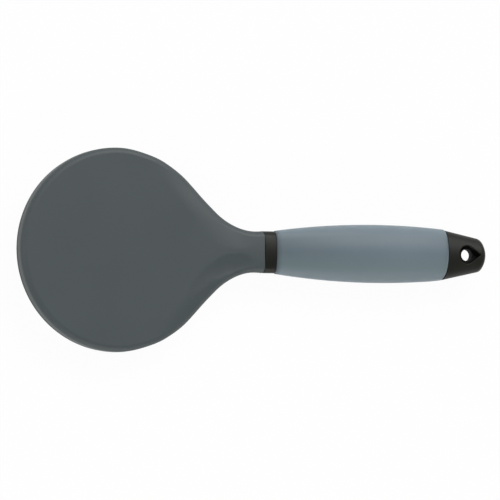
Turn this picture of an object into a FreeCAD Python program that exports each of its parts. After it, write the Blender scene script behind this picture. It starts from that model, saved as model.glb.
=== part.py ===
import FreeCAD, Part
import math
import os

import Sketcher

# Curry comb: a round paddle head with a rubber tooth pad below, on a waisted neck, with a gel grip
# and a hanging cap. Millimetres. The origin lies on the plane of the tooth tips, under the middle of
# the round head. +X runs along the handle to its butt and +Z points out of the smooth back.

# The driving sizes: name, value, meaning.
SIZES = [
    ("head_diameter", 117.5, "round head, across its side wall"),
    ("rim_height", 11.0, "side of the head from the underside of the pad flange to the flat back"),
    ("tooth_length", 9.0, "teeth below the pad flange"),
    ("edge_round", 3.2, "rounding of the back's edge round the head"),
    ("foot_round", 1.8, "rounding of the neck's lower edges where they leave the head"),
    ("flank_angle", 46.0, "degrees from the handle to the straight flanks of the neck"),
    ("neck_arc", 34.2, "radius of the hollow arcs of the neck"),
    ("waist_width", 23.7, "neck at its narrowest"),
    ("neck_length", 30.1, "from the round head's edge to the collar"),
    ("neck_round", 6.2, "rounding of the neck's edges at the collar"),
    ("scoop_depth", 1.9, "hollow worked into each flank, where it is deepest"),
    ("scoop_radius", 14.0, "radius of that hollow across the flank"),
    ("scoop_reach", 15.0, "from the waist back to where the hollow has its depth"),
    ("scoop_lean", 5.0, "degrees by which the hollow rises towards the collar"),
    ("roof_wall", 2.5, "flat back of the shell"),
    ("rim_wall", 6.5, "side of the shell"),
    ("flange_thickness", 2.5, "edge of the tooth pad that shows under the shell"),
    ("flange_setback", 0.3, "pad flange inside the shell's side"),
    ("rim_groove", 0.6, "shadow gap between the shell and the pad flange"),
    ("seat_relief", 0.75, "from the head's side out to the step in the neck behind the pad flange"),
    ("frame_thickness", 2.2, "hard plate over the pad"),
    ("plate_lift", 0.1, "from the shell's foot up to the underside of the plate"),
    ("rib_width", 2.0, "ribs on the plate"),
    ("rib_count", 8, "radial ribs, and as many pad plugs between them"),
    ("hoop_circle", 18.5, "radius of the round rib that ties the radial ones"),
    ("plug_circle", 37.0, "radius of the circle of pad plugs"),
    ("plug_diameter", 5.0, "pad plugs where they pass through the plate"),
    ("plug_head", 1.2, "how far a plug's head stands out past its shank"),
    ("plug_clearance", 0.9, "from a plug's head up to the back"),
    ("plug_taper", 17.0, "degrees of slope on a plug's head"),
    ("ring_inset", 6.75, "from the head's edge in to the outermost ring of teeth"),
    ("ring_pitch", 10.0, "from one ring of teeth to the next"),
    ("ring_gap", 2.0, "least radius left inside the last ring's pitch, for the nub"),
    ("tooth_pitch", 10.6, "from tooth to tooth along a ring"),
    ("tooth_width", 5.4, "a tooth across its ring, at its root"),
    ("tooth_span", 6.8, "a tooth along its ring, at its root"),
    ("tooth_taper", 8.5, "degrees of slope on a tooth's sides"),
    ("ridge_width", 3.0, "low ridge that links the teeth of a ring"),
    ("ridge_height", 3.0, "height of that ridge"),
    ("fullness", 0.82, "side radius of the handle's oval sections as a share of half the thickness"),
    ("collar_length", 7.7, "black collar"),
    ("collar_step", 0.05, "collar proud of the neck's flanks"),
    ("collar_fall", 0.05, "collar below the flat back"),
    ("collar_groove", 0.7, "groove at the collar's head side, width and depth"),
    ("grip_length", 105.5, "gel sleeve"),
    ("grip_step", 0.3, "sleeve proud of the collar all round"),
    ("crown_place", 64.3, "from the collar to the sleeve's widest section"),
    ("crown_width", 33.8, "sleeve across at its widest"),
    ("crown_thickness", 22.6, "sleeve through at its widest"),
    ("grip_end_width", 29.9, "sleeve across at the cap"),
    ("grip_end_thickness", 18.6, "sleeve through at the cap"),
    ("grip_lip", 2.0, "rounded lip of the sleeve at the cap"),
    ("gel_wall", 2.2, "gel over the grip core"),
    ("core_wall", 2.2, "wall of the grip core"),
    ("socket_length", 26.0, "solid front of the grip core round the tang"),
    ("cap_length", 24.3, "end cap"),
    ("cap_step", 0.85, "sleeve proud of the cap all round"),
    ("butt_width", 17.6, "cap across at its butt, before the corners are rounded"),
    ("butt_thickness", 12.2, "cap through at its butt"),
    ("butt_bow", 19.5, "radius in plan of the cap's bowed butt"),
    ("butt_corner", 3.8, "radius in plan of the butt's corners"),
    ("corner_share", 1.1, "from the butt back to the corners' start, as a share of their radius"),
    ("corner_margin", 0.06, "how far the corners' rounds start outside the cap's sides"),
    ("butt_round", 3.3, "rounding of the butt's upper and lower edges"),
    ("cut_margin", 0.3, "how far a trimming cut starts outside the face that it trims"),
    ("cap_spigot", 10.0, "plug of the cap inside the grip core"),
    ("spigot_gap", 0.75, "clearance of that plug"),
    ("hole_diameter", 7.1, "hanging hole"),
    ("hole_place", 12.95, "from the sleeve to the middle of the hanging hole"),
    ("hole_web", 5.6, "cap through at the hanging hole"),
    ("recess_radius", 5.2, "round end of the drop-shaped recess"),
    ("recess_shift", 1.0, "middle of that round end, from the hole towards the sleeve"),
    ("recess_tip", 7.8, "from the middle of the hole to the recess's point"),
    ("tang_width", 9.0, "tang across"),
    ("tang_thickness", 4.6, "tang through"),
    ("root_wall", 4.2, "from the waist's flank in to the tang's root"),
    ("tang_root_lap", 8.0, "tang's root inside the head, where it runs onto the plate"),
    ("tang_tip", 4.0, "tang past the socket, in the hollow of the grip core"),
    ("pin_diameter", 3.0, "steel pin through the tang"),
    ("pin_cover", 0.45, "ends of the steel pin inside the collar's thickness"),
    ("fit_gap", 0.15, "clearance of the pieces that plug together"),
    ("bond_gap", 0.05, "clearance of the faces that are moulded on each other"),
]

# Sizes worked out from the driving ones.
DERIVED = [
    ("head_radius", "head_diameter / 2"),
    ("axis_height", "tooth_length + rim_height / 2"),
    ("shell_foot", "tooth_length + flange_thickness + rim_groove"),
    ("frame_foot", "shell_foot + plate_lift"),
    ("tang_foot", "axis_height - tang_thickness / 2"),
    ("plate_top", "frame_foot + frame_thickness"),
    ("roof_height", "tooth_length + rim_height - roof_wall"),
    ("plug_rise", "roof_height - plate_top - plug_clearance"),
    ("skirt_radius", "head_radius - rim_wall"),
    ("scoop_height", "tooth_length + rim_height + scoop_radius - scoop_depth"
     " + scoop_reach * tan(scoop_lean * 1deg)"),
    ("arc_height", "waist_width / 2 + neck_arc"),
    ("arc_place", "(head_radius + neck_arc - arc_height * cos(flank_angle * 1deg))"
     " / sin(flank_angle * 1deg)"),
    ("neck_end", "head_radius + neck_length"),
    ("neck_width", "2 * (arc_height - sqrt(neck_arc^2 - (neck_end - arc_place)^2))"),
    ("tang_root_width", "waist_width - 2 * root_wall"),
    ("outer_ring", "head_radius - ring_inset"),
    ("ring_count", "floor((outer_ring - ring_gap) / ring_pitch)"),
    ("collar_width", "neck_width + 2 * collar_step"),
    ("collar_thickness", "rim_height - 2 * collar_fall"),
    ("grip_start_width", "collar_width + 2 * grip_step"),
    ("grip_start_thickness", "collar_thickness + 2 * grip_step"),
    ("cap_width", "grip_end_width - 2 * cap_step"),
    ("cap_thickness", "grip_end_thickness - 2 * cap_step"),
    ("chamber_thickness", "(grip_start_thickness + crown_thickness) / 2"),
    ("grip_start", "neck_end + collar_length"),
    ("grip_end", "grip_start + grip_length"),
    ("hole_centre", "grip_end + hole_place"),
    ("butt_end", "grip_end + cap_length"),
    ("corner_start", "butt_end - corner_share * butt_corner"),
    ("corner_height", "butt_width / 2"
     " + (cap_width - butt_width) / 2 * (butt_end - corner_start) / cap_length"),
    ("pin_place", "grip_start + socket_length / 2"),
    ("pin_length", "collar_thickness - 2 * pin_cover"),
    ("tang_end", "grip_start + socket_length + tang_tip"),
]


def make_sheet(doc):
    """The spreadsheet of sizes: driving values first, then the derived ones as formulas."""
    sheet = doc.addObject("Spreadsheet::Sheet", "sizes")
    for row, (name, number, meaning) in enumerate(SIZES, 1):
        sheet.set(f"A{row}", name)
        sheet.set(f"B{row}", str(number))
        sheet.set(f"C{row}", meaning)
        sheet.setAlias(f"B{row}", name)
    for row, (name, formula) in enumerate(DERIVED, len(SIZES) + 1):
        sheet.set(f"A{row}", name)
        sheet.set(f"B{row}", "=" + formula)
        sheet.setAlias(f"B{row}", name)
    doc.recompute()
    return sheet


DOC = FreeCAD.newDocument("curry_comb")
SHEET = make_sheet(DOC)


def size(name):
    """The number that a named cell holds."""
    return float(SHEET.get(name))


def new_body(label, height="0"):
    """An empty PartDesign body, lifted so that its own X axis lies at a height."""
    body = DOC.addObject("PartDesign::Body", label)
    body.Label = label
    body.setExpression("Placement.Base.z", height)
    return body


def new_sketch(body, name, plane, offset="0"):
    """A sketch on one of the body's own origin planes, moved along that plane's normal."""
    sketch = body.newObject("Sketcher::SketchObject", name)
    origin_planes = [item for item in body.Origin.OriginFeatures if item.Role == plane]
    sketch.AttachmentSupport = [(origin_planes[0], "")]
    sketch.MapMode = "FlatFace"
    sketch.setExpression("AttachmentOffset.Base.z", offset)
    return sketch


def bind(sketch, name, formula, *rule):
    """A dimension of a sketch that follows a formula in the sheet's names."""
    index = sketch.addConstraint(Sketcher.Constraint(*rule))
    sketch.renameConstraint(index, name)
    sketch.setExpression("Constraints." + name, formula)


def tie(sketch, *rules):
    """Plain geometric constraints, each a tuple."""
    for rule in rules:
        sketch.addConstraint(Sketcher.Constraint(*rule))


def point(x, y):
    return FreeCAD.Vector(x, y, 0)


def arc(centre, radius, start, end):
    """An anticlockwise arc between two angles in degrees."""
    circle = Part.Circle(centre, FreeCAD.Vector(0, 0, 1), radius)
    return Part.ArcOfCircle(circle, math.radians(start), math.radians(end))


def circle_at(sketch, name, radius, place_x="0"):
    """A circle on the sketch's horizontal axis."""
    ring = sketch.addGeometry(Part.Circle(point(1, 0), FreeCAD.Vector(0, 0, 1), 5))
    tie(sketch, ("PointOnObject", ring, 3, -1))
    bind(sketch, name + "_place", place_x, "DistanceX", -1, 1, ring, 3, 1.0)
    bind(sketch, name + "_radius", radius, "Radius", ring, 5)


def polygon(sketch, corners):
    """A closed run of straight edges through corners given as (formula x, formula y)."""
    count = len(corners)
    turn = 2 * math.pi / count
    rough = [point(20 + 10 * math.cos(turn * i), 10 * math.sin(turn * i)) for i in range(count)]
    edges = []
    for index in range(count):
        edges.append(sketch.addGeometry(Part.LineSegment(rough[index], rough[(index + 1) % count])))
    for index, (x, y) in enumerate(corners):
        tie(sketch, ("Coincident", edges[index - 1], 2, edges[index], 1))
        bind(sketch, f"x{index}", x, "DistanceX", -1, 1, edges[index], 1, 1.0)
        bind(sketch, f"y{index}", y, "DistanceY", -1, 1, edges[index], 1, 1.0)


def box_outline(sketch, left, right, bottom, top):
    """A rectangle between two pairs of formulas."""
    polygon(sketch, [(left, bottom), (right, bottom), (right, top), (left, top)])


def oval(body, name, place, width, thickness, inset="0"):
    """A section across the handle: two flat crowned arcs joined by two tight side arcs."""
    sketch = new_sketch(body, name, "YZ_Plane", place)
    half_width = f"(({width}) / 2 - ({inset}))"
    half_height = f"(({thickness}) / 2 - ({inset}))"
    side = f"(sizes.fullness * {half_height})"
    crown = (f"((({half_width} - {side})^2 + {half_height}^2 - {side}^2)"
             f" / (2 * ({half_height} - {side})))")
    right = sketch.addGeometry(arc(point(8, 0), 5, -80, 80))
    top = sketch.addGeometry(arc(point(0, -20), 27, 72, 108))
    left = sketch.addGeometry(arc(point(-8, 0), 5, 100, 260))
    bottom = sketch.addGeometry(arc(point(0, 20), 27, 252, 288))
    tie(sketch,
        ("PointOnObject", right, 3, -1), ("PointOnObject", left, 3, -1),
        ("PointOnObject", top, 3, -2),
        ("Tangent", right, 2, top, 1), ("Tangent", top, 2, left, 1),
        ("Tangent", left, 2, bottom, 1), ("Tangent", bottom, 2, right, 1),
        ("Equal", right, left), ("Equal", top, bottom))
    bind(sketch, "side", side, "Radius", right, 5)
    bind(sketch, "crown", crown, "Radius", top, 27)
    bind(sketch, "reach", f"{half_width} - {side}", "DistanceX", -1, 1, right, 3, 8)
    return sketch


def rounded_end(body, name, place, width, thickness, radius):
    """A quarter-round end beyond an oval, through sections that shrink as the round closes."""
    sections = []
    for angle in (0, 30, 60, 90):
        reach = math.sin(math.radians(angle))
        inset = 1 - math.cos(math.radians(angle))
        sections.append(oval(body, f"{name}_{angle}", f"{place} + {radius} * {reach:.6f}", width,
                             thickness, f"{radius} * {inset:.6f}"))
    return loft(body, "AdditiveLoft", name, sections)


def pad(body, name, sketch, length, down=False, taper="0"):
    """Material from a sketch along its normal, or against it."""
    feature = body.newObject("PartDesign::Pad", name)
    feature.Profile = sketch
    feature.Reversed = down
    feature.setExpression("Length", length)
    feature.setExpression("TaperAngle", f"-({taper}) * 1deg")
    body.Tip = feature
    return feature


def pocket(body, name, sketch, length, down=False, midplane=False):
    """A cut from a sketch along its normal, or against it, or half of it each way."""
    feature = body.newObject("PartDesign::Pocket", name)
    feature.Profile = sketch
    feature.Reversed = not down
    feature.Midplane = midplane
    feature.setExpression("Length", length)
    body.Tip = feature
    return feature


def around(body, name, features, count):
    """A polar pattern about the body's upright axis."""
    feature = body.newObject("PartDesign::PolarPattern", name)
    feature.Originals = features
    axes = [item for item in body.Origin.OriginFeatures if item.Role == "Z_Axis"]
    feature.Axis = (axes[0], [""])
    feature.Angle = 360
    feature.setExpression("Occurrences", count)
    body.Tip = feature
    return feature


def loft(body, kind, name, sections):
    """A solid or a cut through a row of sections."""
    feature = body.newObject("PartDesign::" + kind, name)
    feature.Profile = sections[0]
    feature.Sections = sections[1:]
    body.Tip = feature
    return feature


def head_outline(body):
    """Plan of the back: the round head, straight flanks and hollow arcs down to the neck's end."""
    sketch = new_sketch(body, "plan_of_back", "XY_Plane", "sizes.tooth_length")
    radius = size("head_radius")
    reach = size("arc_place")
    height = size("arc_height")
    hollow = size("neck_arc")
    lean = math.radians(90 - size("flank_angle"))
    turn = 90 + size("flank_angle")
    shoulder = point(radius * math.cos(lean), radius * math.sin(lean))
    foot = point(reach - hollow * math.cos(lean), height - hollow * math.sin(lean))
    end = size("neck_end")
    end_angle = math.degrees(math.asin((end - reach) / hollow))
    head = sketch.addGeometry(arc(point(0, 0), radius, math.degrees(lean), 360 - math.degrees(lean)))
    upper = sketch.addGeometry(Part.LineSegment(shoulder, foot))
    lower = sketch.addGeometry(Part.LineSegment(point(shoulder.x, -shoulder.y), point(foot.x, -foot.y)))
    upper_hollow = sketch.addGeometry(arc(point(reach, height), hollow, 90 + turn, 270 + end_angle))
    lower_hollow = sketch.addGeometry(arc(point(reach, -height), hollow, 90 - end_angle, 270 - turn))
    last_y = height - math.sqrt(hollow ** 2 - (end - reach) ** 2)
    closing = sketch.addGeometry(Part.LineSegment(point(end, last_y), point(end, -last_y)))
    tie(sketch,
        ("Coincident", head, 3, -1, 1),
        ("Tangent", upper, 1, head, 1), ("Tangent", head, 2, lower, 1),
        ("Tangent", upper, 2, upper_hollow, 1), ("Tangent", lower, 2, lower_hollow, 2),
        ("Coincident", upper_hollow, 2, closing, 1), ("Coincident", closing, 2, lower_hollow, 1),
        ("Vertical", closing), ("Equal", upper_hollow, lower_hollow))
    bind(sketch, "head", "sizes.head_radius", "Radius", head, radius)
    bind(sketch, "hollow", "sizes.neck_arc", "Radius", upper_hollow, hollow)
    bind(sketch, "upper_height", "sizes.arc_height", "DistanceY", -1, 1, upper_hollow, 3, height)
    bind(sketch, "lower_height", "sizes.arc_height", "DistanceY", lower_hollow, 3, -1, 1, height)
    bind(sketch, "upper_place", "sizes.arc_place", "DistanceX", -1, 1, upper_hollow, 3, reach)
    bind(sketch, "lower_place", "sizes.arc_place", "DistanceX", -1, 1, lower_hollow, 3, reach)
    bind(sketch, "neck_end", "sizes.neck_end", "DistanceX", -1, 1, closing, 1, end)
    return sketch


def back_shell():
    """The grey moulding: flat back, rounded rim and the waisted neck with a hollow in each flank."""
    body = new_body("back_blank")
    pad(body, "blank", head_outline(body), "sizes.rim_height")
    DOC.recompute()
    rounded = DOC.addObject("Part::Fillet", "rounded_blank")
    rounded.Base = body
    rounded.Edges = rim_rounds(body.Shape)
    scoops = [flank_scoop("left_scoop", 1), flank_scoop("right_scoop", -1)]
    hollows = [
        cylinder("flange_seat", "sizes.head_radius + sizes.seat_relief", "0", "sizes.shell_foot"),
        cylinder("cavity", "sizes.skirt_radius", "0", "sizes.roof_height"),
        tang_tunnel(),
    ]
    cutter = DOC.addObject("Part::MultiFuse", "shell_cutters")
    cutter.Shapes = scoops + hollows
    shell = DOC.addObject("Part::Cut", "back_shell")
    shell.Label = "back_shell"
    shell.Base = rounded
    shell.Tool = cutter
    return shell


def rim_rounds(shape):
    """Edge numbers with their two radii: small round the head, growing along the neck."""
    start = size("arc_place") - size("neck_arc") * math.sin(math.radians(size("flank_angle")))
    end = size("neck_end")
    low = size("tooth_length")
    neck_round = min(size("neck_round"), size("rim_height") / 2 - size("collar_groove"))
    rounds = []
    for number, edge in enumerate(shape.Edges, 1):
        box = edge.BoundBox
        if box.ZLength > 1e-6 or box.XMin > end - 1e-6:
            continue
        head_round = size("edge_round") if box.ZMin > low + 1e-6 else size("foot_round")
        radii = []
        for x in (edge.valueAt(edge.FirstParameter).x, edge.valueAt(edge.LastParameter).x):
            share = min(1, max(0, (x - start) / (end - start)))
            radii.append(head_round + share * (neck_round - head_round))
        rounds.append((number, radii[0], radii[1]))
    return rounds


def cylinder(name, radius, foot, height):
    """An upright cylinder on the head's axis."""
    item = DOC.addObject("Part::Cylinder", name)
    item.setExpression("Radius", radius)
    item.setExpression("Height", height)
    item.setExpression("Placement.Base.z", foot)
    return item


def flank_scoop(name, side):
    """A torus about the neck arc's centre that hollows one flank and runs out before the collar."""
    ring = DOC.addObject("Part::Torus", name)
    ring.setExpression("Radius1", "sizes.neck_arc + sizes.scoop_depth")
    ring.setExpression("Radius2", "sizes.scoop_radius")
    ring.setExpression("Placement.Base.x", "sizes.arc_place")
    ring.setExpression("Placement.Base.y", f"{side} * sizes.arc_height")
    ring.setExpression("Placement.Base.z", "sizes.scoop_height")
    ring.setExpression("Placement.Rotation.Angle", "-sizes.scoop_lean * 1deg")
    ring.Placement.Rotation.Axis = FreeCAD.Vector(0, 1, 0)
    return ring


def tang_tunnel():
    """The way through the neck for the root of the tang."""
    box = DOC.addObject("Part::Box", "tang_tunnel")
    box.setExpression("Length", "sizes.neck_end")
    box.setExpression("Width", "sizes.tang_root_width + 2 * sizes.fit_gap")
    box.setExpression("Height", "sizes.tang_thickness + 2 * sizes.fit_gap")
    box.setExpression("Placement.Base.y", "-(sizes.tang_root_width / 2 + sizes.fit_gap)")
    box.setExpression("Placement.Base.z", "sizes.frame_foot - sizes.fit_gap")
    return box


def head_frame():
    """The hard inner paddle: ribbed plate under the back, root in the neck and tang in the grip."""
    body = new_body("head_frame")
    plate = new_sketch(body, "plate_plan", "XY_Plane", "sizes.frame_foot")
    circle_at(plate, "plate", "sizes.skirt_radius - sizes.fit_gap")
    pad(body, "plate", plate, "sizes.frame_thickness")
    rib = new_sketch(body, "rib_plan", "XY_Plane", "sizes.frame_foot")
    box_outline(rib, "sizes.rib_width", "sizes.skirt_radius - sizes.rib_width",
                "-sizes.rib_width / 2", "sizes.rib_width / 2")
    spoke = pad(body, "rib", rib, "sizes.roof_height - sizes.frame_foot")
    around(body, "ribs", [spoke], "sizes.rib_count")
    hoop = new_sketch(body, "hoop_plan", "XY_Plane", "sizes.frame_foot")
    circle_at(hoop, "outside", "sizes.hoop_circle + sizes.rib_width / 2")
    circle_at(hoop, "inside", "sizes.hoop_circle - sizes.rib_width / 2")
    pad(body, "hoop_rib", hoop, "sizes.roof_height - sizes.frame_foot")
    root = new_sketch(body, "root_plan", "XY_Plane", "sizes.frame_foot")
    box_outline(root, "sizes.skirt_radius - sizes.tang_root_lap", "sizes.neck_end",
                "-sizes.tang_root_width / 2", "sizes.tang_root_width / 2")
    pad(body, "tang_root", root, "sizes.tang_thickness")
    tang = new_sketch(body, "tang_plan", "XY_Plane", "sizes.tang_foot")
    box_outline(tang, "sizes.neck_end", "sizes.tang_end",
                "-sizes.tang_width / 2", "sizes.tang_width / 2")
    pad(body, "tang", tang, "sizes.tang_thickness")
    eye = new_sketch(body, "pin_hole_plan", "XY_Plane", "sizes.tang_foot")
    circle_at(eye, "pin_hole", "sizes.pin_diameter / 2", "sizes.pin_place")
    pocket(body, "pin_hole", eye, "sizes.tang_thickness")
    hole = new_sketch(body, "plug_hole_plan", "XY_Plane", "sizes.frame_foot")
    plug_circle_at(hole, "plug_hole", "sizes.plug_diameter / 2 + sizes.fit_gap")
    first = pocket(body, "plug_hole", hole, "sizes.frame_thickness")
    around(body, "plug_holes", [first], "sizes.rib_count")
    return body


def plug_circle_at(sketch, name, radius):
    """A circle on the plugs' circle, half a rib's step round from the handle's axis."""
    ring = sketch.addGeometry(Part.Circle(point(34, 14), FreeCAD.Vector(0, 0, 1), 3))
    step = "(180deg / sizes.rib_count)"
    bind(sketch, name + "_radius", radius, "Radius", ring, 3)
    bind(sketch, name + "_x", f"sizes.plug_circle * cos({step})", "DistanceX", -1, 1, ring, 3, 34)
    bind(sketch, name + "_y", f"sizes.plug_circle * sin({step})", "DistanceY", -1, 1, ring, 3, 14)


def tooth_pad():
    """The rubber pad: flanged disc, rings of tapered teeth below, plugs through the plate above."""
    rings = [tooth_ring(index) for index in range(int(size("ring_count")))]
    moulding = DOC.addObject("Part::MultiFuse", "tooth_pad")
    moulding.Label = "tooth_pad"
    moulding.Shapes = [pad_disc()] + rings
    return moulding


def pad_disc():
    """The pad without its rings of teeth, but with the blunt nub in the middle."""
    body = new_body("pad_disc")
    flange = new_sketch(body, "flange_plan", "XY_Plane", "sizes.tooth_length")
    circle_at(flange, "flange", "sizes.head_radius - sizes.flange_setback")
    pad(body, "flange", flange, "sizes.flange_thickness")
    spigot = new_sketch(body, "spigot_plan", "XY_Plane", "sizes.tooth_length")
    circle_at(spigot, "spigot", "sizes.skirt_radius - sizes.fit_gap")
    pad(body, "spigot", spigot, "sizes.frame_foot - sizes.tooth_length")
    add_plugs(body)
    nub = new_sketch(body, "nub_plan", "XY_Plane", "sizes.tooth_length")
    circle_at(nub, "nub", "sizes.tooth_span / 2")
    pad(body, "centre_nub", nub, "sizes.tooth_length", down=True, taper="sizes.tooth_taper")
    return body


def add_plugs(body):
    """Round plugs with swollen heads that hold the pad to the plate."""
    shank = new_sketch(body, "shank_plan", "XY_Plane", "sizes.frame_foot")
    plug_circle_at(shank, "shank", "sizes.plug_diameter / 2")
    stem = pad(body, "plug_shank", shank, "sizes.frame_thickness")
    head = new_sketch(body, "plug_head_plan", "XY_Plane", "sizes.plate_top")
    plug_circle_at(head, "plug_head", "sizes.plug_diameter / 2 + sizes.plug_head")
    knob = pad(body, "plug_head", head, "sizes.plug_rise", taper="sizes.plug_taper")
    around(body, "plugs", [stem, knob], "sizes.rib_count")


def tooth_ring(index):
    """One ring: a low round ridge and, standing on it, evenly spaced teeth with sloping sides."""
    body = new_body(f"tooth_ring_{index}")
    radius = f"(sizes.outer_ring - {index} * sizes.ring_pitch)"
    ridge = new_sketch(body, "ridge_plan", "XY_Plane", "sizes.tooth_length")
    circle_at(ridge, "outside", f"{radius} + sizes.ridge_width / 2")
    circle_at(ridge, "inside", f"{radius} - sizes.ridge_width / 2")
    pad(body, "ridge", ridge, "sizes.ridge_height", down=True)
    tooth = new_sketch(body, "tooth_plan", "XY_Plane", "sizes.tooth_length")
    box_outline(tooth, f"{radius} - sizes.tooth_width / 2", f"{radius} + sizes.tooth_width / 2",
                "-sizes.tooth_span / 2", "sizes.tooth_span / 2")
    first = pad(body, "tooth", tooth, "sizes.tooth_length", down=True, taper="sizes.tooth_taper")
    around(body, "teeth", [first], f"round(2 * pi * {radius} / sizes.tooth_pitch)")
    return body


def neck_collar():
    """The black collar: an oval ring with a fine groove at its head side, open for the tang."""
    body = new_body("neck_collar", "sizes.axis_height")
    step = oval(body, "groove_section", "sizes.neck_end", "sizes.collar_width",
                "sizes.collar_thickness", "sizes.collar_groove")
    pad(body, "groove_floor", step, "sizes.collar_groove")
    full = oval(body, "collar_section", "sizes.neck_end + sizes.collar_groove",
                "sizes.collar_width", "sizes.collar_thickness")
    pad(body, "collar_ring", full, "sizes.collar_length - sizes.collar_groove")
    cut_tang_slot(body, "sizes.neck_end", "sizes.collar_length")
    return body


def cut_tang_slot(body, start, length):
    """A way through for the tang, with its fit clearance all round."""
    slot = new_sketch(body, "tang_slot_section", "YZ_Plane", start)
    box_outline(slot, "-(sizes.tang_width / 2 + sizes.fit_gap)", "sizes.tang_width / 2 + sizes.fit_gap",
                "-(sizes.tang_thickness / 2 + sizes.fit_gap)",
                "sizes.tang_thickness / 2 + sizes.fit_gap")
    pocket(body, "tang_slot", slot, length)


def grip_sections(body, name, inset, end="sizes.grip_end"):
    """Three ovals of the grip: at the collar, at its widest and at the cap."""
    return [
        oval(body, name + "_at_collar", "sizes.grip_start", "sizes.grip_start_width",
             "sizes.grip_start_thickness", inset),
        oval(body, name + "_at_crown", "sizes.grip_start + sizes.crown_place", "sizes.crown_width",
             "sizes.crown_thickness", inset),
        oval(body, name + "_at_cap", end, "sizes.grip_end_width", "sizes.grip_end_thickness", inset),
    ]


def gel_sleeve():
    """The soft translucent sleeve moulded over the grip core, with a rounded lip at the cap."""
    body = new_body("gel_sleeve", "sizes.axis_height")
    lip_start = "sizes.grip_end - sizes.grip_lip"
    loft(body, "AdditiveLoft", "gel_outside", grip_sections(body, "outside", "0", lip_start))
    rounded_end(body, "lip", lip_start, "sizes.grip_end_width", "sizes.grip_end_thickness",
                "sizes.grip_lip")
    loft(body, "SubtractiveLoft", "gel_inside", grip_sections(body, "inside", "sizes.gel_wall"))
    return body


def grip_core_half(label, upper):
    """One half shell of the hard grip core, solid round the tang and hollow behind it."""
    body = new_body(label, "sizes.axis_height")
    skin = "sizes.gel_wall + sizes.bond_gap"
    loft(body, "AdditiveLoft", "core_outside", grip_sections(body, "outside", skin))
    cut_tang_slot(body, "sizes.grip_start", "sizes.tang_end - sizes.grip_start + sizes.fit_gap")
    cut_chamber(body)
    eye = new_sketch(body, "pin_hole_plan", "XY_Plane")
    circle_at(eye, "pin_hole", "sizes.pin_diameter / 2", "sizes.pin_place")
    pocket(body, "pin_hole", eye, "sizes.pin_length", midplane=True)
    half = new_sketch(body, "parting_plan", "XY_Plane")
    box_outline(half, "sizes.neck_end", "sizes.grip_end + sizes.collar_length",
                "-sizes.crown_width", "sizes.crown_width")
    pocket(body, "other_half", half, "sizes.crown_thickness", down=upper)
    return body


def cut_chamber(body):
    """The hollow behind the socket, open at the back for the cap's spigot."""
    inset = "sizes.gel_wall + sizes.core_wall"
    sections = [
        oval(body, "chamber_front", "sizes.grip_start + sizes.socket_length",
             "sizes.grip_start_width", "sizes.chamber_thickness", inset),
        oval(body, "chamber_back", "sizes.grip_end", "sizes.grip_end_width",
             "sizes.grip_end_thickness", inset),
    ]
    loft(body, "SubtractiveLoft", "chamber", sections)


def end_cap():
    """The black cap: a flattened taper with a bowed butt and a drop-shaped recess round a hole."""
    body = new_body("end_cap", "sizes.axis_height")
    front = oval(body, "cap_at_sleeve", "sizes.grip_end", "sizes.cap_width", "sizes.cap_thickness")
    back = oval(body, "cap_at_butt", "sizes.butt_end", "sizes.butt_width", "sizes.butt_thickness")
    loft(body, "AdditiveLoft", "cap_taper", [front, back])
    pocket(body, "butt_plan", bowed_butt(body), "2 * sizes.cap_thickness", midplane=True)
    for name, side in (("upper_edge_cut", 1), ("lower_edge_cut", -1)):
        pocket(body, name, edge_cut(body, name + "_section", side), "2 * sizes.cap_width", midplane=True)
    spigot = oval(body, "spigot_section", "sizes.grip_end", "sizes.grip_end_width",
                  "sizes.grip_end_thickness", "sizes.gel_wall + sizes.core_wall + sizes.spigot_gap")
    pad(body, "spigot", spigot, "sizes.cap_spigot", down=True)
    for name, above in (("upper_recess", True), ("lower_recess", False)):
        drop = drop_outline(body, name + "_plan", "sizes.hole_web / 2" if above else "-sizes.hole_web / 2")
        pocket(body, name, drop, "sizes.cap_thickness", down=not above)
    hole = new_sketch(body, "hanging_hole_plan", "XY_Plane")
    circle_at(hole, "hanging_hole", "sizes.hole_diameter / 2", "sizes.hole_centre")
    pocket(body, "hanging_hole", hole, "sizes.cap_thickness", midplane=True)
    return body


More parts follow.
